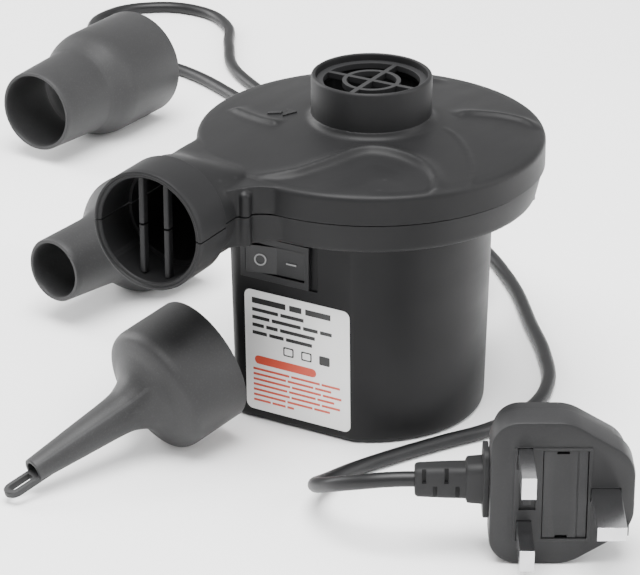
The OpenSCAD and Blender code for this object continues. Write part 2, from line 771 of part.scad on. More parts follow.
module nozzle_medium() {
  color([0.2, 0.2, 0.205]) lay([-101.9, 48.4, 19.75], -9, 0) nozzle_shell(
    [[socket_bore, 0], [socket_r - 0.5, 0], [socket_r, 0.5], [socket_r, 21], [18.4, 24.5], [15.4, 28.5],
      [13, 32], [11.7, 36], [10.5, medium_len]],
    [[9, medium_len], [10.2, 36], [11.5, 32], [13.9, 28.5], [16.8, 24], [16.8, 20], [socket_bore, 20]]);
}

module nozzle_small() {
  tip = small_len - 11;
  color([0.2, 0.2, 0.205]) lay([-30, -48, 24.3], -20, 14.7) difference() {
    union() {
      nozzle_shell(
        [[socket_bore, 0], [socket_r - 0.5, 0], [socket_r, 0.5], [socket_r, 19], [18.6, 20.6], [13, 23],
          [9.4, 25.6], [7.3, 29], [6, 34], [3.6, tip]],
        [[2.3, tip], [4.7, 34], [6, 27.6], [8.2, 24], [12, 21.2], [15, 19.8], [16.8, 18.6],
          [16.8, 18], [socket_bore, 18]]);
      translate([0, -1, tip - 5]) rotate([90, 0, 0]) linear_extrude(2) union() {
        translate([-3, 0]) square([6, 12.4]);
        translate([0, 12.4]) circle(r = 3);
      }
    }
    translate([0, 0, tip + 1]) rotate([90, 0, 0]) linear_extrude(10) union() {
      translate([-1.4, 0]) square([2.8, 6.4]);
      translate([0, 6.4]) circle(r = 1.4);
    }
  }
}

lower_housing();
top_lid();
outlet_guard();
intake_grille();
air_deck();
motor_cradle();
motor_sleeve();
lid_screws();
deck_screws();
motor_can();
motor_magnets();
motor_end_bell();
bearings();
brush_springs();
carbon_brushes();
motor_shaft();
armature_core();
armature_windings();
commutator();
motor_screws();
impeller();
impeller_hub();
rectifier_board();
board_parts();
board_posts();
inner_wires();
switch_frame();
switch_terminals();
switch_contact();
rocker();
rocker_marks();
rocker_axle();
rating_label();
cord_gland();
cord_clamp();
clamp_posts();
clamp_screws();
power_cord();
cord_coil();
plug_body();
plug_fuse_cover();
plug_fuse();
plug_fuse_clips();
plug_line_pins();
plug_earth_pin();
plug_relief();
nozzle_large();
nozzle_medium();
nozzle_small();
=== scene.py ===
"""Electric air mattress pump with three loose nozzles and a moulded plug, as a look-dev scene.

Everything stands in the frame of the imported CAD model: metres, +Z up, the impeller axis on Z.
Sizes below are written in millimetres, as in part.scad, and turned to metres when a mesh is made.
"""

import json
import math

import bmesh
import bpy
import numpy as np
from mathutils import Matrix, Vector


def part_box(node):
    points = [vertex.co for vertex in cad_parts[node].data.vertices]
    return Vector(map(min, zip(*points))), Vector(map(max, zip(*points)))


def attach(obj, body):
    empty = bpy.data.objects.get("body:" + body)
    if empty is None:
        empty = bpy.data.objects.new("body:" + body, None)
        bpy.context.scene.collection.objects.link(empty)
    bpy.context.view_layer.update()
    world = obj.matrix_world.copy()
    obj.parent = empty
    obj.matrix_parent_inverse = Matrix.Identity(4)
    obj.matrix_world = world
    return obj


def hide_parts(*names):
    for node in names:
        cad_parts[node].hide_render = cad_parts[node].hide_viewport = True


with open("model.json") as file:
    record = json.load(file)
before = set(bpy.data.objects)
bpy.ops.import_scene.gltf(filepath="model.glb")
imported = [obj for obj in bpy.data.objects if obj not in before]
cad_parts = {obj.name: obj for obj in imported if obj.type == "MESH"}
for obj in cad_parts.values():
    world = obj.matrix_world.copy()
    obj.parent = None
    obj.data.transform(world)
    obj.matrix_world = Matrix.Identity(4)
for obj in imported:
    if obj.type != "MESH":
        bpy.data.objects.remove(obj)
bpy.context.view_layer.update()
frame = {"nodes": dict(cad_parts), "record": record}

MM = 0.001
nodes = frame["nodes"]
scene = bpy.context.scene


def box_mm(node):
    """Lowest and highest corner of a CAD node, in millimetres."""
    low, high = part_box(node)
    return [v / MM for v in low], [v / MM for v in high]


# ---------- sizes in millimetres, read from the CAD frame where it has them ----------
lid_low, lid_high = box_mm("top_lid")
LID_R = lid_high[0]
RIM_Z = lid_high[2]  # top of the intake collar
SEAM_Z = lid_low[2]
OUTLET_Y = lid_low[1]  # front face of the outlet ring
PORT_R = 18.0  # outside of the collar and of the outlet ring
OUTLET_X = -28.0
OUTLET_Z = 78.0
OUTLET_BORE = 15.8
COLLAR_BORE = 16.6
RING_BACK = -66.0
LID_UNDER = 84.9  # underside of the lid near its edge
FLANGE_Z = 68.5
FLANGE_R = 49.6
WELL_LEAN = 1.5  # the motor well's wall leans out by this from the floor to the flange
WALL = 2.2  # thickness of the walls of the lid and the motor well
CORD_R = 2.2  # the cord's own radius
SEAM_GAP = 0.22  # each half stands this far off the seam
NUDGE = 0.04  # keeps a cutter's wall off the wall it meets
BAR_HALF = 0.9  # half the width of an outlet bar
SOCKET = PORT_R + 0.15  # a nozzle's socket slides over a port
NOZZLE_R = 19.7  # outside of a nozzle's wide end


# ---------- camera ----------
def make_camera():
    """A long lens from the front right, at the photograph's height."""
    data = bpy.data.cameras.new("camera")
    data.lens = 176.8
    data.sensor_width = 36.0
    camera = bpy.data.objects.new("camera", data)
    forward = Vector((-0.4552, 0.7885, -0.4135)).normalized()
    right = forward.cross(Vector((0, 0, 1))).normalized()
    up = right.cross(forward)
    camera.matrix_world = Matrix((right, up, -forward)).transposed().to_4x4()
    camera.location = (0.4223, -0.762, 0.4311)
    scene.collection.objects.link(camera)
    scene.camera = camera


make_camera()

# ---------- cord ----------
LIE = CORD_R + 0.06  # height of the cord's middle where it lies on the floor
COIL_AT = (-55, 84)
COIL_IN = 20  # radius where the coil starts
COIL_PITCH = 4.5
# from the clamp through the gland and over the coil, as in part.scad
LEAD_IN = [
    (0, 19, 14), (0, 41, 14), (0, 63, 14), (-1, 76, 13), (-7, 87, 11), (-18, 96, 8.8),
    (-30, 101.5, 7.4), (-42.5, 104, 7), (-55, 104.2, 6.9),
]
# from the coil along the floor to the plug, as in part.scad
LEAD_OUT = [
    (-40, 111.5, LIE), (-53, 121, LIE), (-76, 136, LIE), (-106, 155, LIE), (-140, 176, LIE),
    (-170, 194, LIE), (-195, 205, LIE), (-217, 209, LIE), (-238, 213, LIE), (-254, 226, LIE),
    (-259, 245, LIE), (-249, 262, LIE), (-230, 268, LIE), (-211, 259, LIE), (-198, 240, LIE),
    (-184, 220, LIE), (-164, 204, LIE), (-136, 187, LIE), (-100, 165, LIE), (-60, 140, LIE),
    (-24, 116, LIE), (2, 92, LIE), (24, 64, LIE), (37, 47, LIE), (47, 29, LIE), (50, 11, LIE),
    (46, -7, LIE), (37, -23, LIE), (29, -38, LIE), (23, -52, LIE + 0.3), (21.4, -64, LIE + 2),
    (24.1, -75, LIE + 6.4), (32.2, -83, LIE + 12.2), (43.2, -85.9, LIE + 17.2),
    (54.2, -83, 22), (66.2, -76.05, 22),
]


def coil_points():
    """Just under two turns, each a cord's width outside the last, that start on top and settle."""
    points = []
    for turned in range(30, 661, 30):
        angle = math.radians(90 + turned)
        radius = COIL_IN + COIL_PITCH * turned / 360
        height = LIE + max(0.0, 2 * CORD_R * (1 - turned / 90))
        points.append((COIL_AT[0] + radius * math.cos(angle),
                       COIL_AT[1] + radius * math.sin(angle), height))
    return points


def make_cord():
    """One smooth line through the route, as a round sheath."""
    route = LEAD_IN + coil_points() + LEAD_OUT
    curve = bpy.data.curves.new("power_lead", "CURVE")
    curve.dimensions = "3D"
    curve.bevel_depth = CORD_R * MM
    curve.bevel_resolution = 5
    curve.resolution_u = 8
    curve.use_fill_caps = True
    spline = curve.splines.new("BEZIER")
    spline.bezier_points.add(len(route) - 1)
    for point, place in zip(spline.bezier_points, route):
        point.co = Vector(place) * MM
        point.handle_left_type = "AUTO"
        point.handle_right_type = "AUTO"
    obj = bpy.data.objects.new("power_lead", curve)
    scene.collection.objects.link(obj)
    return obj


cord = make_cord()


# ---------- materials ----------
class Graph:
    """A small helper that adds nodes to a material and links them."""

    def __init__(self, name):
        self.material = bpy.data.materials.new(name)
        self.material.use_nodes = True
        self.tree = self.material.node_tree
        self.shader = self.tree.nodes["Principled BSDF"]
        self.place = self.add("ShaderNodeTexCoord").outputs["Object"]

    def add(self, kind, **settings):
        """A new node with the given settings."""
        node = self.tree.nodes.new(kind)
        for key, value in settings.items():
            setattr(node, key, value)
        return node

    def link(self, out, into):
        """Joins an output to an input."""
        self.tree.links.new(out, into)

    def noise(self, size_mm, detail=3.0, stretch=(1, 1, 1)):
        """Noise whose features are about size_mm across."""
        mapping = self.add("ShaderNodeMapping")
        mapping.inputs["Scale"].default_value = [s / (size_mm * MM) for s in stretch]
        self.link(self.place, mapping.inputs["Vector"])
        node = self.add("ShaderNodeTexNoise")
        node.inputs["Scale"].default_value = 1.0
        node.inputs["Detail"].default_value = detail
        self.link(mapping.outputs["Vector"], node.inputs["Vector"])
        return node.outputs["Fac"]

    def ramp(self, fac, *stops):
        """A colour ramp from (position, colour) pairs."""
        node = self.add("ShaderNodeValToRGB")
        elements = node.color_ramp.elements
        while len(elements) < len(stops):
            elements.new(0.5)
        for element, (position, colour) in zip(elements, stops):
            element.position = position
            element.color = (*colour, 1)
        self.link(fac, node.inputs["Fac"])
        return node.outputs["Color"]

    def range(self, fac, low, high):
        """A 0 to 1 factor turned to low to high."""
        node = self.add("ShaderNodeMapRange")
        node.inputs["To Min"].default_value = low
        node.inputs["To Max"].default_value = high
        self.link(fac, node.inputs["Value"])
        return node.outputs["Result"]

    def mix(self, fac, first, second):
        """Two colours mixed by a factor; the numbers are the node's colour sockets."""
        node = self.add("ShaderNodeMix", data_type="RGBA")
        self.link(fac, node.inputs["Factor"])
        self.link(first, node.inputs[6])
        self.link(second, node.inputs[7])
        return node.outputs[2]

    def bump(self, height, strength, distance_mm, edge_mm=0.0):
        """Surface relief from a height, over edges softened by edge_mm."""
        node = self.add("ShaderNodeBump")
        node.inputs["Strength"].default_value = strength
        node.inputs["Distance"].default_value = distance_mm * MM
        self.link(height, node.inputs["Height"])
        if edge_mm:
            bevel = self.add("ShaderNodeBevel", samples=6)
            bevel.inputs["Radius"].default_value = edge_mm * MM
            self.link(bevel.outputs["Normal"], node.inputs["Normal"])
        return node.outputs["Normal"]


BLACK = (0, 0, 0)


def scaled(colour, k):
    """A colour made darker or lighter."""
    return tuple(min(1.0, c * k) for c in colour)


def plastic(name, colour, rough=0.5, grain_mm=0.35, relief=0.25, mottle=0.12, speckle=0.0,
            edge_mm=0.25, specular=0.3):
    """Moulded plastic: spark-eroded grain, faint flow mottling, scuffed edges."""
    g = Graph(name)
    broad = g.noise(26, 4.0)
    fine = g.noise(grain_mm, 2.0)
    base = g.ramp(broad, (0.3, scaled(colour, 1 - mottle)), (0.7, scaled(colour, 1 + mottle)))
    pointed = g.add("ShaderNodeNewGeometry").outputs["Pointiness"]
    worn = g.ramp(pointed, (0.5, BLACK), (0.62, (0.6, 0.6, 0.6)))
    pale = g.ramp(fine, (0.35, scaled(colour, 1.5)), (0.7, scaled(colour, 2.2)))
    base = g.mix(worn, base, pale)
    if speckle:
        dots = g.ramp(g.noise(grain_mm * 1.3, 1.0), (0.52, BLACK), (0.7, (speckle,) * 3))
        base = g.mix(dots, base, pale)
    g.link(base, g.shader.inputs["Base Color"])
    scuff = g.noise(9, 5.0, (1, 0.35, 1))
    g.link(g.range(scuff, rough - 0.08, rough + 0.1), g.shader.inputs["Roughness"])
    g.shader.inputs["Specular IOR Level"].default_value = specular
    g.link(g.bump(fine, relief, 0.05, edge_mm), g.shader.inputs["Normal"])
    return g.material


def metal(name, colour, rough=0.25, stretch=(1, 1, 14), relief=0.08):
    """Plated or turned metal: fine drawn lines and a faint tarnish."""
    g = Graph(name)
    lines = g.noise(0.5, 2.0, stretch)
    tarnish = g.noise(7, 4.0)
    base = g.ramp(tarnish, (0.3, scaled(colour, 0.82)), (0.7, colour))
    g.link(base, g.shader.inputs["Base Color"])
    g.shader.inputs["Metallic"].default_value = 1.0
    g.link(g.range(lines, rough - 0.06, rough + 0.14), g.shader.inputs["Roughness"])
    g.link(g.bump(lines, relief, 0.03, 0.2), g.shader.inputs["Normal"])
    return g.material


def film(name, colour, rough=0.35):
    """Printed film or glazed ceramic: a faint fibre under a smooth coat."""
    g = Graph(name)
    fibre = g.noise(0.6, 4.0)
    base = g.ramp(g.noise(12, 3.0), (0.3, scaled(colour, 0.95)), (0.7, colour))
    g.link(base, g.shader.inputs["Base Color"])
    g.link(g.range(fibre, rough - 0.05, rough + 0.08), g.shader.inputs["Roughness"])
    g.link(g.bump(fibre, 0.05, 0.02), g.shader.inputs["Normal"])
    return g.material


MATERIALS = {
    "shell_black": plastic("shell_black", (0.0088, 0.0088, 0.0092), 0.47, specular=0.16),
    "grille_black": plastic("grille_black", (0.009, 0.009, 0.0095)),
    "deck_grey": plastic("deck_grey", (0.05, 0.05, 0.053), 0.55),
    "rubber_black": plastic("rubber_black", (0.008, 0.008, 0.0085), 0.6, grain_mm=0.5,
                            relief=0.2, mottle=0.1),
    "screw_zinc": metal("screw_zinc", (0.16, 0.16, 0.165), 0.38),
    "can_zinc": metal("can_zinc", (0.66, 0.66, 0.67), 0.28, stretch=(1, 1, 10)),
    "ferrite": plastic("ferrite", (0.03, 0.028, 0.026), 0.7, grain_mm=0.6, relief=0.4),
    "bell_ivory": plastic("bell_ivory", (0.62, 0.57, 0.46), 0.45, grain_mm=0.4, relief=0.15),
    "bronze": metal("bronze", (0.7, 0.48, 0.2), 0.3),
    "carbon": plastic("carbon", (0.02, 0.02, 0.02), 0.6, grain_mm=0.3, relief=0.3),
    "shaft_steel": metal("shaft_steel", (0.6, 0.6, 0.62), 0.18, stretch=(1, 1, 0.2)),
    "core_steel": metal("core_steel", (0.42, 0.42, 0.44), 0.4, stretch=(0.1, 0.1, 6)),
    "enamelled_wire": metal("enamelled_wire", (0.5, 0.19, 0.06), 0.25, stretch=(1, 1, 0.1),
                            relief=0.3),
    "copper": metal("copper", (0.72, 0.34, 0.16), 0.22),
    "fan_black": plastic("fan_black", (0.035, 0.035, 0.037), 0.45),
    "board_green": plastic("board_green", (0.015, 0.09, 0.035), 0.3, grain_mm=0.8,
                           relief=0.1, mottle=0.2),
    "component_black": plastic("component_black", (0.015, 0.015, 0.016), 0.35),
    "wire_red": plastic("wire_red", (0.3, 0.02, 0.015), 0.35, grain_mm=0.6, relief=0.1),
    "switch_black": plastic("switch_black", (0.008, 0.008, 0.0085), 0.45, grain_mm=0.3,
                            relief=0.18),
    "rocker_black": plastic("rocker_black", (0.009, 0.009, 0.0095), 0.38, grain_mm=0.3,
                            relief=0.12),
    "mark_white": film("mark_white", (0.22, 0.22, 0.22), 0.5),
    "label_white": film("label_white", (0.78, 0.78, 0.77), 0.32),
    "cord_black": plastic("cord_black", (0.005, 0.005, 0.0055), 0.42, grain_mm=0.5,
                          relief=0.12, mottle=0.1, edge_mm=0.0),
    "plug_black": plastic("plug_black", (0.011, 0.011, 0.0115), 0.45, grain_mm=0.5,
                          mottle=0.15, speckle=0.2),
    "ceramic_white": film("ceramic_white", (0.7, 0.68, 0.62), 0.3),
    "pin_chrome": metal("pin_chrome", (0.62, 0.62, 0.63), 0.16, stretch=(1, 8, 1), relief=0.05),
    "nozzle_grey": plastic("nozzle_grey", (0.019, 0.019, 0.0195), 0.52, grain_mm=0.45,
                           relief=0.4, speckle=0.35),
    "ink_black": film("ink_black", (0.02, 0.02, 0.02), 0.4),
    "ink_red": film("ink_red", (0.55, 0.07, 0.04), 0.4),
}


# ---------- mesh tools ----------
def make(name, verts, faces, place=None):
    """A mesh in metres from points in millimetres."""
    mesh = bpy.data.meshes.new(name)
    mesh.from_pydata([tuple(c * MM for c in v) for v in verts], [], faces)
    if place is not None:
        mesh.transform(place)
    obj = bpy.data.objects.new(name, mesh)
    scene.collection.objects.link(obj)
    weld(obj)
    return obj


def finish_piece(obj, slot, body="housing", sharp=32):
    """Gives a piece its material and body, and sharp edges where it turns by over sharp degrees."""
    obj.data.materials.clear()
    obj.data.materials.append(MATERIALS[slot])
    if obj.type == "MESH":
        work = bmesh.new()
        work.from_mesh(obj.data)
        bmesh.ops.recalc_face_normals(work, faces=work.faces)
        work.to_mesh(obj.data)
        work.free()
        obj.data.shade_smooth()
        obj.data.set_sharp_from_angle(angle=math.radians(sharp))
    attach(obj, body)


def lathe(name, profile, steps=160, place=None):
    """A closed profile of (radius, height) points turned about Z."""
    verts, faces = [], []
    count = len(profile)
    for i in range(steps):
        a = 2 * math.pi * i / steps
        verts += [(r * math.cos(a), r * math.sin(a), h) for r, h in profile]
    for i in range(steps):
        j = (i + 1) % steps
        for k in range(count):
            m = (k + 1) % count
            faces.append((i * count + k, j * count + k, j * count + m, i * count + m))
    return make(name, verts, faces, place)


def weld(obj):
    """Joins points that coincide, drops empty faces and turns the rest outwards."""
    work = bmesh.new()
    work.from_mesh(obj.data)
    bmesh.ops.remove_doubles(work, verts=work.verts, dist=1e-7)
    bmesh.ops.dissolve_degenerate(work, edges=work.edges, dist=1e-8)
    bmesh.ops.recalc_face_normals(work, faces=work.faces)
    work.to_mesh(obj.data)
    work.free()


def loft(name, rings, place=None):
    """A closed skin over rings that all have the same number of points."""
    count = len(rings[0])
    verts = [p for ring in rings for p in ring]
    faces = [tuple(range(count))[::-1],
             tuple(range((len(rings) - 1) * count, len(rings) * count))]
    for i in range(len(rings) - 1):
        for k in range(count):
            m = (k + 1) % count
            faces.append((i * count + k, i * count + m, (i + 1) * count + m, (i + 1) * count + k))
    return make(name, verts, faces, place)


def block(name, low, high):
    """An upright box between two corners."""
    x0, y0, z0 = low
    x1, y1, z1 = high
    flat = [(x0, y0), (x1, y0), (x1, y1), (x0, y1)]
    return loft(name, [[(x, y, z) for x, y in flat] for z in (z0, z1)])


def rounded(points, radii, steps=8):
    """A flat outline whose corners are arcs of the given radii."""
    out = []
    n = len(points)
    for i, (corner, radius) in enumerate(zip(points, radii)):
        here = Vector(corner)
        to_last = (Vector(points[i - 1]) - here).normalized()
        to_next = (Vector(points[(i + 1) % n]) - here).normalized()
        half = to_last.angle(to_next) / 2
        reach = radius / math.tan(half)
        centre = here + (to_last + to_next).normalized() * (radius / math.sin(half))
        start, end = here + to_last * reach - centre, here + to_next * reach - centre
        turn = start.angle_signed(end)
        for s in range(steps + 1):
            a = -turn * s / steps
            out.append((centre.x + start.x * math.cos(a) - start.y * math.sin(a),
                        centre.y + start.x * math.sin(a) + start.y * math.cos(a)))
    return out


def smooth_line(points, per_span):
    """Catmull-Rom points through a short list, of any dimension."""
    p = [np.array(q, float) for q in points]
    out = []
    for i in range(len(p) - 1):
        a, b, c, d = p[max(i - 1, 0)], p[i], p[i + 1], p[min(i + 2, len(p) - 1)]
        for s in range(per_span):
            t = s / per_span
            out.append(0.5 * (2 * b + (c - a) * t + (2 * a - 5 * b + 4 * c - d) * t**2
                              + (3 * b - a - 3 * c + d) * t**3))
    return np.array(out + [p[-1]])


def apply_modifier(obj, kind, **settings):
    """Adds a modifier and bakes it into the mesh."""
    modifier = obj.modifiers.new(kind, kind)
    for key, value in settings.items():
        setattr(modifier, key, value)
    bpy.context.view_layer.update()
    graph = bpy.context.evaluated_depsgraph_get()
    baked = bpy.data.meshes.new_from_object(obj.evaluated_get(graph))
    obj.modifiers.clear()
    obj.data = baked


def combine(target, tool, operation):
    """Boolean of two closed meshes; the tool is used up."""
    apply_modifier(target, "BOOLEAN", object=tool, operation=operation, solver="MANIFOLD")
    bpy.data.objects.remove(tool)


def fuse(name, parts, voxel_mm):
    """Joins closed meshes into one skin with softly filled corners."""
    work = bmesh.new()
    for part in parts:
        work.from_mesh(part.data)
        bpy.data.objects.remove(part)
    mesh = bpy.data.meshes.new(name)
    work.to_mesh(mesh)
    work.free()
    obj = bpy.data.objects.new(name, mesh)
    scene.collection.objects.link(obj)
    apply_modifier(obj, "REMESH", mode="VOXEL", voxel_size=voxel_mm * MM, adaptivity=0.0)
    apply_modifier(obj, "SMOOTH", factor=0.5, iterations=4)
    return obj


def box_cut(target, low, high, operation="DIFFERENCE"):
    """Removes an upright box from a mesh, or adds it."""
    combine(target, block("tool", low, high), operation)


# the outlet's axis: a lathe's height runs towards the front
TO_FRONT = (Matrix.Translation((OUTLET_X * MM, 0, OUTLET_Z * MM))
            @ Matrix.Rotation(math.radians(90), 4, "X"))


# ---------- lid ----------
# (radius, height) of the plain dome
DOME = [(0, 91.2), (20.2, 91.0), (28, 90.1), (38, 88.9), (48, 87.6), (50.6, 87.1), (51.6, 86.5),
        (52, 85.6)]
# the moulded lines, seen from above: the points of each line and how far it stands up
HOOK = [(-21, -46.5), (-11.5, -49.3), (-2.7, -44), (1.4, -38.5), (4.8, -32.1), (7.8, -25.4),
        (10.8, -21.6), (14, -20), (18, -19.2), (23.5, -19.4), (29.1, -21), (34, -24.6),
        (36.9, -28.4), (38.4, -33.4), (37.6, -37)]
SWIRLS = [
    (HOOK, 1.15),
    ([(20.6, 14.5), (22.5, 18.9), (25.8, 22), (30.8, 25), (37, 26.4), (43.5, 24)], 1.3),
    ([(-44, -8.5), (-35.5, -13), (-28, -15.8), (-21.5, -17.2)], 1.3),
    ([(2, 46), (-6, 40), (-12, 31.5), (-13.5, 24), (-12, 20)], 0.9),
    ([(-38, 31), (-32.5, 24.5), (-27, 20.5), (-20.5, 17.5)], 0.8),
]
STEP_LINE = [(22, 4.5), (28, 1), (33.5, -4), (39, -10.8), (43.6, -18.6), (45.2, -24)]


def along(points, x, y):
    """Distance to a line, the side of it, and how far along it the nearest place is (0 to 1)."""
    line = smooth_line(points, 6)
    best = np.full(x.shape, 1e9)
    side = np.zeros(x.shape)
    where = np.zeros(x.shape)
    for i in range(len(line) - 1):
        ax, ay = line[i]
        dx, dy = line[i + 1] - line[i]
        t = np.clip(((x - ax) * dx + (y - ay) * dy) / (dx * dx + dy * dy), 0, 1)
        ex, ey = x - ax - t * dx, y - ay - t * dy
        d = np.hypot(ex, ey)
        near = d < best
        best = np.where(near, d, best)
        side = np.where(near, np.sign(dx * ey - dy * ex), side)
        where = np.where(near, (i + t) / (len(line) - 1), where)
    return best, side, where


def relief(x, y):
    """Height of the moulded lines above the plain dome."""
    total = np.zeros(x.shape)
    for points, height in SWIRLS:
        d, side, where = along(points, x, y)
        ends = np.clip(np.minimum(where, 1 - where) * 6, 0, 1)
        ends = ends * ends * (3 - 2 * ends)
        wide = np.where(side > 0, 2.6, 1.1)
        total += height * ends * np.exp(-((d / wide) ** 2))
    # the lid is a little lower on the inner side of the hook
    d, side, _ = along(HOOK, x, y)
    inside = np.where(side > 0, 0.0, 1.0) * np.clip(1 - np.exp(-d / 1.4), 0, 1)
    inside = inside * np.clip((17 - d) / 9, 0, 1)
    total -= 0.8 * inside * np.clip((51.2 - np.hypot(x, y)) / 3, 0, 1) * np.where(y < -12, 1, 0)
    # a low thin line between the hook and the swirl on the right
    d, _, where = along(STEP_LINE, x, y)
    total += 0.4 * np.exp(-((d / 0.8) ** 2)) * np.clip(np.minimum(where, 1 - where) * 8, 0, 1)
    return total


def lid_disc():
    """The round lid as a closed solid, its top carrying the relief."""
    around, across, at_rim = 480, 110, 14
    heights = np.array(DOME)
    angle = np.linspace(0, 2 * math.pi, around, endpoint=False)
    radius = np.concatenate([np.linspace(0.5, 50, across - at_rim),
                             np.linspace(50.2, LID_R, at_rim)])
    r, a = np.meshgrid(radius, angle, indexing="ij")
    x, y = r * np.cos(a), r * np.sin(a)
    z = np.interp(r, heights[:, 0], heights[:, 1])
    z = z + relief(x, y) * np.clip((51.4 - r) / 1.2, 0, 1) * np.clip((r - 19.5) / 1.5, 0, 1)
    rings = [[(x[i, k], y[i, k], z[i, k]) for k in range(around)] for i in range(len(radius))]
    rings += [[(LID_R * math.cos(b), LID_R * math.sin(b), h) for b in angle] for h in (82, 79, 75)]
    return loft("lid_disc", rings)


def neck(wall=0.0, name="neck"):
    """From the round root of the ring to the low box where it leaves the volute, or its hollow."""
    half = 16.6 - wall
    # y, top, bottom, and how square the section is (2 is an ellipse)
    stations = [(-67.5, 94.2, 61.8, 2.0), (-63, 94, 62, 2.1), (-58, 92.9, 63, 2.5),
                (-53, 91, 64.7, 3.2), (-48, 88.9, 66.8, 4.0), (-43, 87.4, 68.2, 5.0),
                (-36, 86.9, 68.8, 6.0), (-16, 86.4, 69.2, 6.0)]
    rings = []
    for y, top, bottom, power in smooth_line(stations, 6):
        ring_points = []
        for k in range(120):
            a = 2 * math.pi * k / 120
            c, s = math.cos(a), math.sin(a)
            u = math.copysign(abs(c) ** (2 / power), c)
            w = math.copysign(abs(s) ** (2 / power), s)
            ring_points.append((OUTLET_X + half * u, y,
                                (top + bottom) / 2 + ((top - bottom) / 2 - wall) * w))
        rings.append(ring_points)
    return loft(name, rings)


def neck_corner(levels):
    """Fills the corner between the neck and the round edge, with one soft upright flute."""
    bend = smooth_line([(-14.2, -62.6), (-12.2, -60), (-10.2, -56.8), (-7, -53.6), (-1.5, -51.6),
                        (4, -51.3)], 4)
    rings = []
    for z in levels:
        edge_r = np.interp(z, [FLANGE_Z, FLANGE_Z + 1.2, SEAM_Z], [48.4, FLANGE_R, 51.5])
        edge = [(x, y + (51.5 - edge_r) * min(1, max(0, (x + 11) / 8))) for x, y in bend]
        rings.append([(x, y, z) for x, y in edge + [(4, -40), (-24, -40), (-24, -62.6)]])
    low, high = levels[0], levels[-1]
    flute = [(1.9, low), (1.9, high - 2), (0.6, high - 1), (0, high - 1), (0, low)]
    flute_at = Matrix.Translation((-10 * MM, -56.3 * MM, 0))
    return [loft("corner", rings), lathe("flute", flute, 32, flute_at)]


def ring():
    """The outlet ring: a rounded lip, a shallow step inside it and the bore."""
    front = -OUTLET_Y
    back = -RING_BACK - 2
    return lathe("ring", [
        (OUTLET_BORE, back), (OUTLET_BORE, front - 0.9), (OUTLET_BORE + 0.35, front - 0.5),
        (OUTLET_BORE + 1.1, front - 0.5), (OUTLET_BORE + 1.25, front - 0.15),
        (OUTLET_BORE + 1.4, front), (PORT_R - 0.5, front), (PORT_R - 0.15, front - 0.15),
        (PORT_R, front - 0.5), (PORT_R, front - 2.2), (PORT_R, -RING_BACK + 0.25),
        (PORT_R - 0.3, -RING_BACK), (PORT_R - 2, -RING_BACK - 0.2), (PORT_R - 2, back),
    ], 200, TO_FRONT)


def duct_tools(top):
    """The air way out of the volute, as closed tools to cut with."""
    bore_r, mouth = OUTLET_BORE - NUDGE, -RING_BACK - 1.0
    bore = lathe("bore", [(0, mouth), (bore_r, mouth), (bore_r, 90), (0, 90)], 200, TO_FRONT)
    way = block("way", (OUTLET_X - 14.8, -50, 72.5), (OUTLET_X + 14.8, -12, top))
    return [bore, neck(1.7, "funnel"), way]


def build_lid():
    """The lid with its collar, the upper half of the outlet and the hollow underneath."""
    flare = lathe("flare", [(0, 88), (21.5, 88), (20.6, 90.9), (19.5, 91.2), (18.6, 91.9),
                            (18.1, 93.2), (0, 93.2)], 200)
    lid = fuse("lid_shell", [lid_disc(), neck(), flare] + neck_corner([74, 80, 86.7]), 0.45)
    collar = lathe("collar", [
        (0, 86), (PORT_R, 86), (PORT_R, RIM_Z - 0.8), (PORT_R - 0.25, RIM_Z - 0.25),
        (PORT_R - 0.6, RIM_Z), (COLLAR_BORE + 0.4, RIM_Z), (COLLAR_BORE + 0.1, RIM_Z - 0.2),
        (COLLAR_BORE, RIM_Z - 0.6), (COLLAR_BORE, RIM_Z - 2), (0, RIM_Z - 2),
    ], 220)
    combine(lid, collar, "UNION")
    combine(lid, ring(), "UNION")
    cavity = lathe("cavity", [(0, 70), (LID_R - WALL, 70), (LID_R - WALL, LID_UNDER), (38, 86.5),
                              (20, 88.2), (0, 88.2)])
    combine(lid, cavity, "DIFFERENCE")
    bore_r = COLLAR_BORE - NUDGE
    bore = lathe("bore", [(0, 80), (bore_r, 80), (bore_r, 110), (0, 110)], 220)
    combine(lid, bore, "DIFFERENCE")
    for tool in duct_tools(LID_UNDER):
        combine(lid, tool, "DIFFERENCE")
    box_cut(lid, (-80, -90, 40), (80, 80, SEAM_Z + SEAM_GAP))
    ledge = lathe("ledge", [(15.5, 99.4), (16.7, 99.4), (16.7, 101), (15.5, 101)])
    combine(lid, ledge, "UNION")
    finish_piece(lid, "shell_black")
    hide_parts("top_lid")


def flow_arrow():
    """A plain raised arrow beside the collar, following the dome."""
    slope = math.atan((91.0 - 90.1) / 8)
    bar = [(-31.5, -0.8), (-27.2, -0.8), (-27.2, 0.8), (-31.5, 0.8)]
    head = [(-26.4, -2.9), (-22.6, 0), (-26.4, 2.9), (-25.6, 0)]
    for i, flat in enumerate((bar, head)):
        middle = sum(x for x, y in flat) / 4
        rings = []
        for lift, k in ((-0.6, 1), (0.25, 1), (0.35, 0.93)):
            rings.append([(middle + (x - middle) * k, y * k,
                           90.75 + lift - (abs(x) - 23) * math.tan(slope)) for x, y in flat])
        obj = loft(f"flow_arrow_{i}", rings, Matrix.Rotation(math.radians(18), 4, "Z"))
        finish_piece(obj, "shell_black")


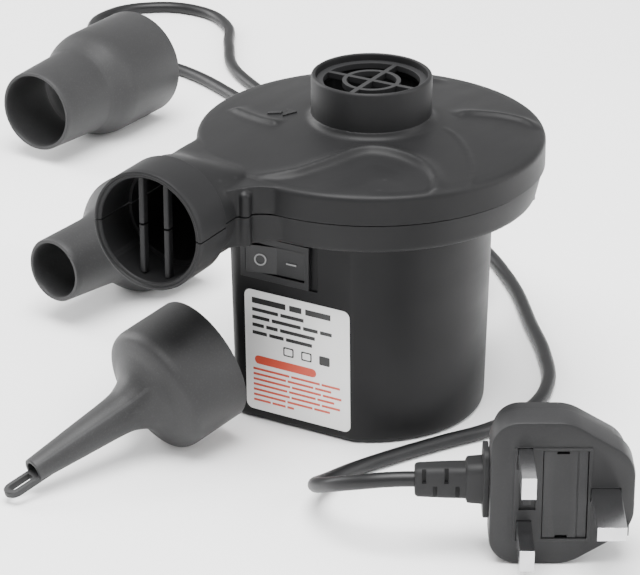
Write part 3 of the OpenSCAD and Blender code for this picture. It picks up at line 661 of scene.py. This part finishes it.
def outlet_bars():
    """Two slim upright bars in the outlet, each parted at the seam."""
    front, back = OUTLET_Y + 3.6, OUTLET_Y + 6
    bars = []
    for x in (OUTLET_X - 4.15, OUTLET_X + 4.15):
        reach = math.sqrt(OUTLET_BORE**2 - (abs(x - OUTLET_X) + BAR_HALF) ** 2) - 0.05
        edge = rounded([(x - BAR_HALF, front), (x + BAR_HALF, front), (x + BAR_HALF, back),
                        (x - BAR_HALF, back)], [0.5, 0.5, 0.3, 0.3], 4)
        for low, high in ((SEAM_Z - reach, SEAM_Z - 0.3), (SEAM_Z + 0.3, SEAM_Z + reach)):
            rings = [[(px, py, z) for px, py in edge] for z in (low, high)]
            bars.append(loft(f"outlet_bar_{len(bars)}", rings))
            finish_piece(bars[-1], "shell_black")
    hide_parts("outlet_guard")


# ---------- lower housing ----------
def well_outline(z, inset):
    """The round motor well with its flat switch panel and square left corner, at one height."""
    lean = WELL_LEAN / FLANGE_Z * z - inset
    radius, front, left = 35.3 + lean, -33 - lean, -29.5 - lean
    corner = max(3.5 + lean, 0.6)
    start = math.atan2(front, math.sqrt(radius**2 - front**2))
    end = math.pi + math.atan2(math.sqrt(radius**2 - left**2), -left)
    points = [(x, front) for x in np.linspace(-26, radius * math.cos(start), 24, endpoint=False)]
    points += [(radius * math.cos(a), radius * math.sin(a))
               for a in np.linspace(start, end, 150)]
    points += [(left, y) for y in np.linspace(radius * math.sin(end), -29.5, 10)[1:-1]]
    for a in np.linspace(math.pi, 1.5 * math.pi, 14, endpoint=False):
        points.append((-26 + corner * math.cos(a), -29.5 + corner * math.sin(a)))
    return [(x, y, z) for x, y in points]


def build_housing():
    """The lower half: motor well, flange, lower half of the outlet and the openings in them."""
    foot = [(0, 1.5), (0.3, 0.8), (0.9, 0.3), (1.8, 0)]  # height and inset of the rounded foot
    well = loft("well", [well_outline(z, inset) for z, inset in foot]
                + [well_outline(z, 0) for z in np.linspace(6, 72, 12)])
    flange = lathe("flange", [(0, 67), (36, 67), (38.5, 67.9), (40, 68.5), (48.4, 68.5),
                              (49.2, 68.8), (49.6, 69.6), (51.5, SEAM_Z), (51.7, 81), (0, 81)], 240)
    corner = neck_corner([68.6, 69.2, 69.8, 73, 76, 78, 82])
    body = fuse("housing_shell", [well, flange, neck()] + corner, 0.55)
    combine(body, ring(), "UNION")
    inner = loft("inner", [well_outline(z, WALL) for z in np.linspace(WALL, 72, 14)])
    combine(body, inner, "DIFFERENCE")
    deck_r = LID_R - 2.8
    deck = lathe("deck", [(0, 70.5), (deck_r, 70.5), (deck_r, 90), (0, 90)])
    combine(body, deck, "DIFFERENCE")
    for tool in duct_tools(90):
        combine(body, tool, "DIFFERENCE")
    box_cut(body, (-80, -90, SEAM_Z - SEAM_GAP), (80, 80, 130))
    # the switch panel's recess, then the switch's own opening
    box_cut(body, (-24.9, -40, 47.4), (1.2, -33.3, 61.9))
    box_cut(body, (-23.2, -40, 49.2), (-2.4, -28, 60.2))
    # the cord's hole at the back
    to_back = Matrix.Translation((0, 0, 14 * MM)) @ Matrix.Rotation(math.radians(-90), 4, "X")
    combine(body, lathe("hole", [(0, 28), (4.2, 28), (4.2, 40), (0, 40)], 64, to_back),
            "DIFFERENCE")
    # seven cooling slots in the floor
    for i in range(-3, 4):
        box_cut(body, (7 * i - 1.1, -14, -1), (7 * i + 1.1, 14, 3.2))
    finish_piece(body, "shell_black")
    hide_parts("lower_housing")


# ---------- loose nozzles ----------
def lay(at, turn, tilt):
    """Lays a nozzle on its side: wide end at a place, turned about Z and tipped down."""
    return (Matrix.Translation(Vector(at) * MM) @ Matrix.Rotation(math.radians(turn), 4, "Z")
            @ Matrix.Rotation(math.radians(90 + tilt), 4, "X"))


def nozzle(name, outer, inner, tip):
    """A turned nozzle: a straight socket with a rounded rim, then smooth lines to its tip."""
    outside = [tuple(p) for p in smooth_line(outer, 6)]
    inside = [tuple(p) for p in smooth_line(inner, 5)]
    rim = [(SOCKET, inner[-1][1]), (SOCKET, 0.6), (SOCKET + 0.3, 0.1), (19.1, 0), (19.55, 0.15),
           (NOZZLE_R, 0.6)]
    mouth = [(outside[-1][0] - 0.3, tip), (inside[0][0] + 0.3, tip)]
    return lathe(name, rim + outside + mouth + inside, 180)


def loop(half, middle, root, steps):
    """A strip of the tongue that ends in a half circle, in the plane of the tongue."""
    arc = [(-half * math.cos(a), middle + half * math.sin(a))
           for a in np.linspace(0, math.pi, steps)]
    return [(-root[0], root[1])] + arc + [root]


def build_nozzles():
    """The three loose nozzles; the lines are (radius, distance from the wide end)."""
    large = nozzle(
        "large",
        [(NOZZLE_R, 24), (19.6, 27), (18.9, 30.5), (17.5, 34), (16.3, 37), (15.7, 40), (15.2, 50),
         (14.65, 61.6)],
        [(13.25, 61.6), (14.1, 40), (14.9, 36.5), (16.3, 33), (16.8, 29), (16.8, 25)], 62)
    medium = nozzle(
        "medium",
        [(NOZZLE_R, 19), (19.3, 22), (18, 24.8), (15.4, 28.5), (13, 32), (11.9, 35.5), (11.4, 40),
         (10.55, 57.6)],
        [(9.05, 57.6), (10.2, 36), (11.5, 32), (13.9, 28.5), (16.6, 24), (16.8, 20)], 58)
    small = nozzle(
        "small",
        [(NOZZLE_R, 16), (19.55, 18.2), (18.6, 20.2), (16, 21.7), (13, 23), (9.6, 25.4), (7.4, 29),
         (6.1, 34), (4.9, 49), (3.65, 64.8)],
        [(2.35, 64.8), (4.7, 34), (6, 28), (8.2, 24.6), (12, 21.6), (15.5, 19.6), (16.8, 18)], 65)

    # the small nozzle's flat tongue, with a slot through it
    root, middle = 58, 72.4
    tongue = loop(3, middle, (2.9, root), 24)
    layers = []
    for y, k in ((-3, 0.92), (-2.75, 1), (-1.25, 1), (-1, 0.92)):
        shrink = 1 if k == 1 else 0.985
        layers.append([(x * k, y, root + (s - root) * shrink) for x, s in tongue])
    combine(small, loft("tongue", layers), "UNION")
    slot = loop(1.4, middle, (1.4, 66), 20)
    combine(small, loft("slot", [[(x, y, s) for x, s in slot] for y in (-12, 6)]), "DIFFERENCE")

    for obj, node, body, place in (
            (large, "nozzle_large", "large_nozzle", lay((-193, 166, 19.75), -3, 0)),
            (medium, "nozzle_medium", "medium_nozzle", lay((-101.9, 48.4, 19.75), -9, 0)),
            (small, "nozzle_small", "small_nozzle", lay((-30, -48, 24.3), -20, 14.7))):
        obj.data.transform(place)
        obj.name = node + "_skin"
        finish_piece(obj, "nozzle_grey", body, 40)
        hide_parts(node)


# ---------- label ----------
def build_label():
    """A rounded white plate with plain bars where print would be."""
    lean = math.atan(WELL_LEAN / FLANGE_Z)
    place = (Matrix.Translation((-24 * MM, -33.1 * MM, 3.5 * MM))
             @ Matrix.Rotation(math.pi / 2 + lean, 4, "X"))
    wide, tall = 36, 40
    outline = rounded([(0, 0), (wide, 0), (wide, tall), (0, tall)], [2.2] * 4)
    face = [(wide / 2 + (x - wide / 2) * 0.995, tall / 2 + (y - tall / 2) * 0.995, 0.15)
            for x, y in outline]
    plate = loft("label_plate", [[(x, y, 0) for x, y in outline],
                                 [(x, y, 0.1) for x, y in outline], face], place)
    finish_piece(plate, "label_white")
    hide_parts("rating_label")

    def bar(name, x0, x1, y0, y1, slot, round_by=0.12, heights=(0.14, 0.17)):
        """One flat block of ink."""
        shape = rounded([(x0, y0), (x1, y0), (x1, y1), (x0, y1)], [round_by] * 4, 3)
        obj = loft(name, [[(x, y, z) for x, y in shape] for z in heights], place)
        finish_piece(obj, slot)

    def words(name, top, high, widths, gap, slot):
        """A row of blocks in place of a line of print."""
        x = 2.6  # the left margin
        for i, width in enumerate(widths):
            bar(f"{name}_{i}", x, x + width, top - high, top, slot)
            x += width + gap

    words("title", 37.6, 1.9, (11.6, 4.2, 8.6), 1.3, "ink_black")
    rows = [(9, 8), (6, 10, 5, 4), (4, 4, 12), (5, 5, 9)]
    for i, widths in enumerate(rows):
        words(f"row_{i}", 34.2 - 2.55 * i, 1.15, widths, 0.8, "ink_black")
    for i, (x, kind) in enumerate(((13.2, "frame"), (19.4, "frame"), (25.6, "solid"))):
        bar(f"sign_{i}", x, x + 3.6, 20.4, 23.4, "ink_black", 0.4)
        if kind == "frame":
            bar(f"sign_in_{i}", x + 0.45, x + 3.15, 20.85, 22.95, "label_white", 0.3,
                (0.145, 0.18))
    bar("heading", 3.2, 24.5, 15.6, 18.4, "ink_red", 1.3)
    for i, width in enumerate((30, 27, 30.5, 28, 30, 26.5, 14)):
        widths = (width * 0.42, width * 0.33, width * 0.25 - 1.2)
        words(f"note_{i}", 14.2 - 1.75 * i, 0.75, widths, 0.6, "ink_red")


# ---------- plug ----------
PLUG = (Matrix.Translation((94 * MM, -60 * MM, -0.3 * MM))
        @ Matrix.Rotation(math.radians(30), 4, "Z"))
PLUG_MID = 22.3  # height of the line through the earth pin
PIN_UP = 11.1  # each line pin is this far above or below it


def plug_ring(inset, y):
    """The plug's outline at one depth, smaller by inset."""
    shape = [(-20 + inset, 0.3 + inset), (2, 0.3 + inset), (20 - inset, 11.5), (20 - inset, 33.1),
             (2, 44.3 - inset), (-20 + inset, 44.3 - inset)]
    radii = [8 - inset * 0.5, 12, 10, 10, 12, 8 - inset * 0.5]
    return [(x, y, z) for x, z in rounded(shape, radii, 10)]


def boot_ring(x, tall, deep):
    """The strain relief's outline at one place along the cord."""
    flat = rounded([(-deep, -tall), (deep, -tall), (deep, tall), (-deep, tall)],
                   [min(tall, deep) * 0.55] * 4, 6)
    return [(x, y, PLUG_MID + z) for y, z in flat]


def build_plug_shell():
    """The plug's body, with a raised field round the fuse cover and wells for the pins."""
    skin = [(6, 8.9), (3, 8.2), (1.4, 6.6), (1.2, 2), (1.2, 0.2), (0, -0.2), (0, -8), (0.25, -8.7),
            (0.9, -9)]
    shell = loft("plug_shell", [plug_ring(inset, y) for inset, y in skin])
    box_cut(shell, (-13.4, -9.5, PLUG_MID - 14.4), (7.9, -8.9, PLUG_MID + 14.4), "UNION")
    box_cut(shell, (-5.6, -12, PLUG_MID - 13.6), (7.0, -0.5, PLUG_MID + 13.6))
    box_cut(shell, (-12, -12, PLUG_MID - 4.6), (-7.4, -8.6, PLUG_MID + 4.6))
    box_cut(shell, (-10.9, -9, PLUG_MID - 3.4), (-8.5, -8.4, PLUG_MID + 3.4), "UNION")
    for z in (PLUG_MID - PIN_UP, PLUG_MID + PIN_UP):
        box_cut(shell, (-12.6, -12, z - 3.3), (-8.4, 1, z + 3.3))
    box_cut(shell, (7.7, -12, PLUG_MID - 2.1), (16.1, 1, PLUG_MID + 2.1))
    for i in range(3):
        box_cut(shell, (18.2 - 1.4 * i, -9.6, PLUG_MID - 12.5 + i),
                (18.6 - 1.4 * i, -8.95, PLUG_MID - 8.5 + i), "UNION")
    return shell


def build_fuse_lid():
    """The fuse cover, with a groove down one side and a notch at each end."""
    cover = block("fuse_lid", (-5.4, -9.1, PLUG_MID - 13.4), (6.8, -7, PLUG_MID + 13.4))
    for low, high in (((3.9, -12, PLUG_MID - 14), (4.3, -8.8, PLUG_MID + 14)),
                      ((-1.8, -12, PLUG_MID + 12.6), (1.6, -8, PLUG_MID + 14)),
                      ((-1.8, -12, PLUG_MID - 14), (1.6, -8, PLUG_MID - 12.6)),
                      ((4.3, -12, PLUG_MID - 14), (7, -8.9, PLUG_MID + 14))):
        box_cut(cover, low, high)
    return cover


def build_boot():
    """The strain relief, with four staggered slits and the cord's way through its end."""
    boot = loft("boot", [boot_ring(*s) for s in (
        (-20.05, 10.4, 5.4), (-21.3, 10.4, 5.4), (-21.6, 10.1, 5.2), (-21.7, 6.3, 4.8),
        (-25.6, 6.0, 4.6), (-26, 5.8, 4.4), (-26.4, 4.8, 3.9), (-32, 4.7, 3.7),
        (-39.6, 4.4, 3.4), (-40.3, 4.0, 3.1), (-40.45, 3.4, 2.8))])
    for i in range(4):
        x = -28.6 - 3.1 * i
        low = PLUG_MID + (0.4 if i % 2 else -6)
        box_cut(boot, (x - 0.55, -6, low), (x + 0.55, -2.3, low + 5.6))
        box_cut(boot, (x - 0.55, 2.3, low), (x + 0.55, 6, low + 5.6))
    turn = np.linspace(0, 2 * math.pi, 32, endpoint=False)
    way = loft("way", [[(x, 2.3 * math.cos(a), PLUG_MID + 2.3 * math.sin(a)) for a in turn]
                       for x in (-42, -31)])
    combine(boot, way, "DIFFERENCE")
    boot.name = "plug_boot"
    return boot


def build_plug():
    """A moulded three-pin plug on its edge, pins to the front."""
    pieces = []
    for piece, slot, node in ((build_plug_shell(), "plug_black", "plug_body"),
                              (build_fuse_lid(), "plug_black", "plug_fuse_cover"),
                              (build_boot(), "rubber_black", "plug_relief")):
        piece.data.transform(PLUG)
        finish_piece(piece, slot)
        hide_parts(node)
        pieces.append(piece)
    return pieces


# ---------- CAD nodes that stay: finishes and softened edges ----------
# width of the rounded edge, for the nodes that have one
EDGES = {"intake_grille": 0.25, "rocker": 0.35, "switch_frame": 0.3, "plug_line_pins": 0.6,
         "plug_earth_pin": 0.6, "cord_gland": 0.2, "impeller": 0.15, "rocker_marks": 0.03}


def dress_nodes():
    """Every CAD node gets its slot's finish; the ones in view get rounded edges too."""
    for part in frame["record"]["subparts"]:
        node = nodes[part["node"]]
        node.data.materials.clear()
        node.data.materials.append(MATERIALS[part["material_slot"]])
        width = EDGES.get(part["node"])
        if width:
            bevel = node.modifiers.new("edges", "BEVEL")
            bevel.width = width * MM
            bevel.segments = 3
            bevel.angle_limit = math.radians(40)
            bevel.use_clamp_overlap = True
            bevel.harden_normals = False


# ---------- stage ----------
def make_stage():
    """A pale floor, a soft white surround and three broad lamps."""
    mesh = bpy.data.meshes.new("floor")
    half = 4.0
    corners = [(-half, -half, 0), (half, -half, 0), (half, half, 0), (-half, half, 0)]
    mesh.from_pydata(corners, [], [(0, 1, 2, 3)])
    floor = bpy.data.objects.new("floor", mesh)
    scene.collection.objects.link(floor)
    g = Graph("floor_paper")
    paper = g.ramp(g.noise(140, 3.0), (0.3, (0.93, 0.93, 0.93)), (0.7, (0.95, 0.95, 0.95)))
    g.link(paper, g.shader.inputs["Base Color"])
    g.link(g.range(g.noise(4, 3.0), 0.75, 0.9), g.shader.inputs["Roughness"])
    g.shader.inputs["Specular IOR Level"].default_value = 0.1
    mesh.materials.append(g.material)

    world = bpy.data.worlds.new("studio")
    world.use_nodes = True
    background = world.node_tree.nodes["Background"]
    background.inputs["Color"].default_value = (1, 1, 1, 1)
    background.inputs["Strength"].default_value = 1.0
    scene.world = world

    def lamp(name, place, aim, size, power):
        """A soft rectangular lamp that points at a place."""
        data = bpy.data.lights.new(name, "AREA")
        data.shape = "RECTANGLE"
        data.size, data.size_y = size
        data.energy = power
        obj = bpy.data.objects.new(name, data)
        obj.location = place
        obj.rotation_euler = (Vector(aim) - Vector(place)).to_track_quat("-Z", "Y").to_euler()
        scene.collection.objects.link(obj)

    lamp("top", (0.05, -0.25, 1.2), (0, 0, 0.05), (0.9, 0.9), 42)
    lamp("left", (-1.1, 0.1, 0.5), (0, 0, 0.06), (0.5, 0.9), 14)
    lamp("right", (0.9, 0.35, 0.5), (0, 0, 0.06), (0.4, 0.8), 7)


def finish_cord(pieces):
    finish_piece(cord, "cord_black")
    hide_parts("power_cord", "cord_coil")


make_stage()
dress_nodes()
build_lid()
flow_arrow()
outlet_bars()
build_housing()
build_nozzles()
build_label()
finish_cord(build_plug())
